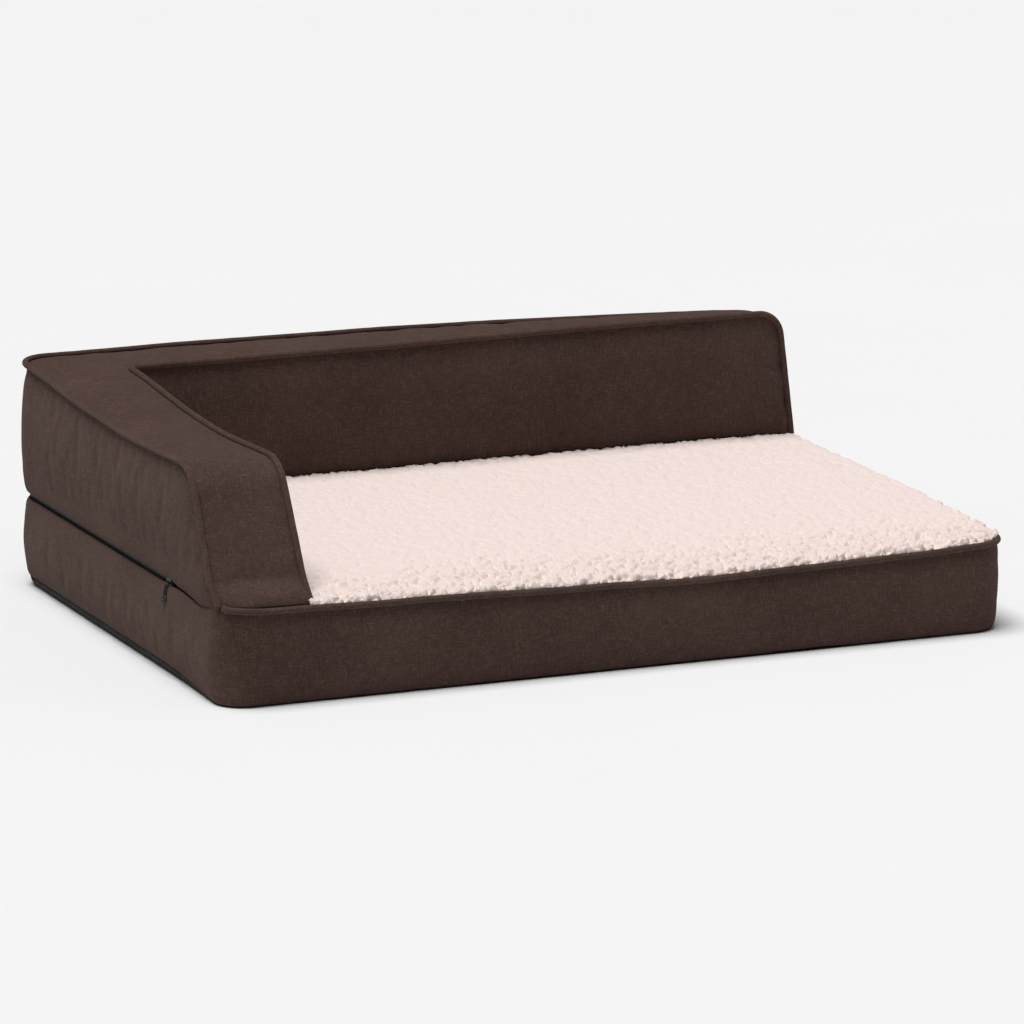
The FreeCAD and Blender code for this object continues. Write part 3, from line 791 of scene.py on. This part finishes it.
class BED_OT_fillings(bpy.types.Operator):
    """Foam blocks inside the covers"""
    bl_idname = "pet_bed.fillings"
    bl_label = "Foam fillings"

    def execute(self, context):
        bm = bmesh.new()
        bmesh.ops.create_cube(bm, size=1.0)
        for vert in bm.verts:
            vert.co = Vector((vert.co.x * 2 * (WALL_X - 10 * MM), vert.co.y * 2 * (WALL_Y - 10 * MM),
                              48 * MM + vert.co.z * 66 * MM))
        bmesh.ops.bevel(bm, geom=bm.edges[:], offset=14 * MM, offset_type="OFFSET", segments=4,
                        profile=0.5, affect="EDGES", material=-1)
        mattress = new_object("mattress_foam", bm, finish("foam"))
        finished(mattress, "cushion", ["base_foam"], FOAM_FILL)
        seams = Seams()
        corner = sum(COLUMNS[:3])
        last = sum(COLUMNS)
        for name, first, end, node in (("side_bolster_foam", 16, corner - 2, "arm_foam"),
                                       ("back_bolster_foam", corner + 2, last - 12, "back_foam")):
            finished(self.block(name, seams, first, end), "cushion", [node], FOAM_FILL)
        return {"FINISHED"}

    def block(self, name, seams, first, last):
        """A rounded block between the two seam lines, well inside the cover."""
        around = 32
        low = SEAM_Z + 10 * MM

        def place(i, j):
            outer, inner = seams.outer[first + i], seams.inner[first + i]
            turn = 2 * math.pi * j / around
            across, up = (math.copysign(abs(turn_part) ** 0.35, turn_part)
                          for turn_part in (math.cos(turn), math.sin(turn)))
            top = outer.lerp(inner, 0.5 + across * 0.4)
            return Vector((top.x, top.y, low + (top.z - 9 * MM - low) * (0.5 + up * 0.5)))

        bm = bmesh.new()
        panel(bm, last - first, around, place)
        bmesh.ops.remove_doubles(bm, verts=bm.verts, dist=WELD)
        close_rim(bm, open_rim(bm), 0)
        bmesh.ops.recalc_face_normals(bm, faces=bm.faces)
        return new_object(name, bm, finish("foam"))


class BED_OT_piping(bpy.types.Operator):
    """Covered welt cords along the seams"""
    bl_idname = "pet_bed.piping"
    bl_label = "Piping"

    def execute(self, context):
        size = sizes()
        seams = Seams()
        r = size.mattress_corner
        around_front, _ = rounded_line([
            ((-WALL_X, -WALL_Y + r + 4 * MM, SEAM_Z), 0), ((-WALL_X, -WALL_Y, SEAM_Z), r),
            ((WALL_X, -WALL_Y, SEAM_Z), r), ((WALL_X, BACK_INNER + 6 * MM, SEAM_Z), 0)])
        start = next(i for i, p in enumerate(around_front) if p.y < -WALL_Y + 15 * MM)
        route = resampled(around_front[start:])
        base = [Vector((p.x, p.y, seam_height(p))) + out * 1.4 * MM
                for p, out in zip(route, plan_normals(route, -1))]
        base[0] += Vector((4 * MM, 6 * MM, 1 * MM))
        base[1] += Vector((2 * MM, 3 * MM, 0.5 * MM))

        def uneven(seed):
            return lambda far: size.piping * (1 + 0.05 * noise.noise(Vector((far * 60, seed, 0))))

        outer, inner = seams.raised(1.7 * MM)
        for seed, (name, route, nodes) in enumerate((
                ("base_piping", base, ["base_piping_cover", "base_piping_cord"]),
                ("outer_piping", outer, ["outer_piping_cover", "outer_piping_cord"]),
                ("inner_piping", inner, ["inner_piping_cover", "inner_piping_cord"]))):
            made = tube(name, resampled(route), uneven(seed), 16, finish("linen"))
            finished(made, "cushion", nodes)
        return {"FINISHED"}


class BED_OT_fleece(bpy.types.Operator):
    """Curly fleece of the sleeping surface"""
    bl_idname = "pet_bed.fleece"
    bl_label = "Fleece"

    def execute(self, context):
        size = sizes()
        left, right = ARM_INNER - 3 * MM, WALL_X - 0.5 * MM
        front, rear = -WALL_Y + 0.5 * MM, BACK_INNER + 3 * MM
        cell = 2.0 * MM
        columns, rows = round((right - left) / cell), round((rear - front) / (cell * 1.15))
        r = size.mattress_corner - 1 * MM
        corner = Vector((right - r, front + r, 0))

        def level(i, j):
            x = left + (right - left) * i / columns
            y = front + (rear - front) * (j / rows) ** 1.5
            if x > corner.x and y < corner.y:
                dx, dy = (x - corner.x) / r, (corner.y - y) / r
                far = math.hypot(dx, dy)
                if far > 0:
                    squeeze = max(dx, dy) / far
                    x, y = corner.x + dx * squeeze * r, corner.y - dy * squeeze * r
            return x, y

        heights = []

        def pile(i, j):
            x, y = level(i, j)
            edge = min(right - x, y - front) if x < corner.x or y > corner.y else (
                r - math.hypot(x - corner.x, corner.y - y))
            rim = seam_height(Vector((x, -WALL_Y, 0))) if y < 0 else SEAM_Z + 2 * MM
            back = SEAM_Z + 3 * MM
            z = rim + (back - rim) * smooth_curve([(front, 0), (front + 0.2, 1)], y)
            z += 3.8 * MM + 2.2 * MM * smooth_curve([(0, 0), (0.06, 0.6), (0.25, 1)], edge)
            z -= 3.5 * MM * (1 - smooth_curve([(-1 * MM, 0), (4 * MM, 1)], edge)) ** 2
            place = Vector((x, y, 0))
            drift = Vector((noise.noise(place * 75), noise.noise(place * 75 + Vector((7, 3, 0))), 0))
            near = noise.voronoi(place / size.curl + drift * 0.8)[0]
            clump = math.sqrt(max(1 - (near[0] / 0.8) ** 2, 0))
            crease = smooth_curve([(0.0, 0), (0.26, 1)], near[1] - near[0])
            small = noise.voronoi(place / (size.curl * 0.42) + drift * 1.6)[0]
            knot = smooth_curve([(0.0, 0), (0.35, 1)], small[1] - small[0])
            pile_height = clump * 0.3 + crease * 0.45 + knot * 0.25
            wild = 1 - smooth_curve([(0.03, 0), (0.13, 1)], y - front + noise.noise(place * 14) * 0.05)
            wild = wild * 0.68 + 0.32
            # heights keeps each point's pile height for the painted shade between the curls of the fleece.
            heights.append(1 - (1 - pile_height) * wild)
            ragged = 5.5 * MM * (pile_height - 0.35)
            out = ragged * (1 - smooth_curve([(0, 0), (12 * MM, 1)], y - front))
            side = ragged * (1 - smooth_curve([(0, 0), (12 * MM, 1)], right - x)) * 0.6 * wild
            return Vector((x + side + drift.x * 1.5 * MM, y - out + drift.y * 1.5 * MM,
                           z + (pile_height - 0.5) * 10 * MM * wild + 2.6 * MM))

        bm = bmesh.new()
        panel(bm, columns, rows, pile, lambda i, j: level(i, j))
        skirt = bmesh.ops.extrude_edge_only(bm, edges=open_rim(bm))["geom"]
        middle = Vector(((left + right) / 2, (front + rear) / 2))
        low = [g for g in skirt if isinstance(g, bmesh.types.BMVert)]
        for vert in low:
            vert.co.xy = middle + (vert.co.xy - middle) * 0.98
            vert.co.z = SEAM_Z - 16 * MM
        close_rim(bm, open_rim(bm), 0)
        bmesh.ops.recalc_face_normals(bm, faces=bm.faces)
        bm.verts.index_update()
        heights += [0.3] * len(low)
        made = new_object("fleece_top", bm, finish("fleece"))
        # The pile attribute carries the pile height to the painted shade of the fleece material.
        made.data.attributes.new("pile", "FLOAT", "POINT").data.foreach_set("value", heights)
        finished(made, "cushion", ["sleeping_panel"], FABRIC_FILL)
        return {"FINISHED"}


class BED_OT_zip(bpy.types.Operator):
    """Pull loop of the zip, and the finish of its metal, tapes and coils"""
    bl_idname = "pet_bed.zip"
    bl_label = "Zip"

    def execute(self, context):
        low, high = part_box("pull")
        pivot = Vector((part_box("slider_bridge")[0].x + 0.7 * MM, (low.y + high.y) / 2, SEAM_Z))
        down = Vector((-0.22, 0, -1)).normalized()
        wide = Vector((-0.3, 0.87, 0)).normalized()
        eye, neck, gap, wire = 3.4 * MM, 14 * MM, 1.3 * MM, 1.05 * MM
        stem = ((1, 0), (1, 0.3), (1, 0.6), (1.1, 0.85))
        loop = [pivot - wide * gap * side + down * neck * far for side, far in stem]
        for step in range(13):
            turn = math.radians(200 + 280 * step / 12)
            loop.append(pivot + down * (neck + eye + eye * math.sin(turn)) - wide * eye * math.cos(turn))
        loop += [pivot + wide * gap * side + down * neck * far for side, far in reversed(stem)]
        tab = tube("pull_loop", loop, lambda far: wire, 12, finish("zip_metal"))
        finished(tab, "zip_pull", ["pull"])
        dressed = {"zip_metal": ("slider_body", "slider_bridge", "zip_stop_front", "zip_stop_rear"),
                   "tape": ("zip_tape_lower", "zip_tape_upper"),
                   "coil": ("zip_coil_lower", "zip_coil_upper")}
        for name, nodes in dressed.items():
            for node in nodes:
                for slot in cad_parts[node].material_slots:
                    slot.material = finish(name)
        return {"FINISHED"}


class BED_OT_stage(bpy.types.Operator):
    """Pale floor, soft light and the camera"""
    bl_idname = "pet_bed.stage"
    bl_label = "Stage"

    def execute(self, context):
        bm = bmesh.new()
        bmesh.ops.create_grid(bm, x_segments=1, y_segments=1, size=12.0)
        floor = new_object("floor", bm, material("floor", plain(
            (0.82, 0.82, 0.82), (0.84, 0.84, 0.84), 3.0, 0.9, 0.0)))
        world = bpy.data.worlds.new("studio")
        context.scene.world = world
        world.use_nodes = True
        sky = world.node_tree.nodes["Background"].inputs
        sky["Color"].default_value = (1, 1, 1, 1)
        sky["Strength"].default_value = 0.14
        context.scene.view_settings.view_transform = "Standard"
        for name, kind, spot, strength, spread in (("key", "SUN", (-1.3, -0.3, 6.5), 3.1, 0.6),
                                                   ("fill", "AREA", (5.0, -3.0, 4.0), 12.0, 3.0)):
            data = bpy.data.lights.new(name, kind)
            data.energy = strength
            if kind == "SUN":
                data.angle = spread
            else:
                data.size = spread
            lamp = bpy.data.objects.new(name, data)
            lamp.location = spot
            lamp.rotation_euler = (-Vector(spot)).to_track_quat("-Z", "Y").to_euler()
            context.scene.collection.objects.link(lamp)
        camera()
        return {"FINISHED"}


class BED_PT_panel(bpy.types.Panel):
    """Sidebar panel that lists the bed's parts"""
    bl_idname = "BED_PT_panel"
    bl_label = "Pet cushion bed"
    bl_space_type = "VIEW_3D"
    bl_region_type = "UI"
    bl_category = "Pet bed"

    def draw(self, context):
        column = self.layout.column()
        for group in (context.scene.bed_sizes, context.scene.bed_colours):
            for name in group.__annotations__:
                column.prop(group, name)
        for part in PARTS:
            column.operator(part.bl_idname)


PARTS = (BED_OT_stage, BED_OT_mattress_cover, BED_OT_bolster_cover, BED_OT_fillings, BED_OT_piping,
         BED_OT_fleece, BED_OT_zip)
GROUPS = (BedSizes, BedColours)


def register():
    for made in (*GROUPS, *PARTS, BED_PT_panel):
        bpy.utils.register_class(made)
    bpy.types.Scene.bed_sizes = PointerProperty(type=BedSizes)
    bpy.types.Scene.bed_colours = PointerProperty(type=BedColours)


def unregister():
    del bpy.types.Scene.bed_colours
    del bpy.types.Scene.bed_sizes
    for made in reversed((*GROUPS, *PARTS, BED_PT_panel)):
        bpy.utils.unregister_class(made)


def main():
    register()
    for part in PARTS:
        category, name = part.bl_idname.split(".")
        getattr(getattr(bpy.ops, category), name)()


if __name__ == "__main__":
    main()
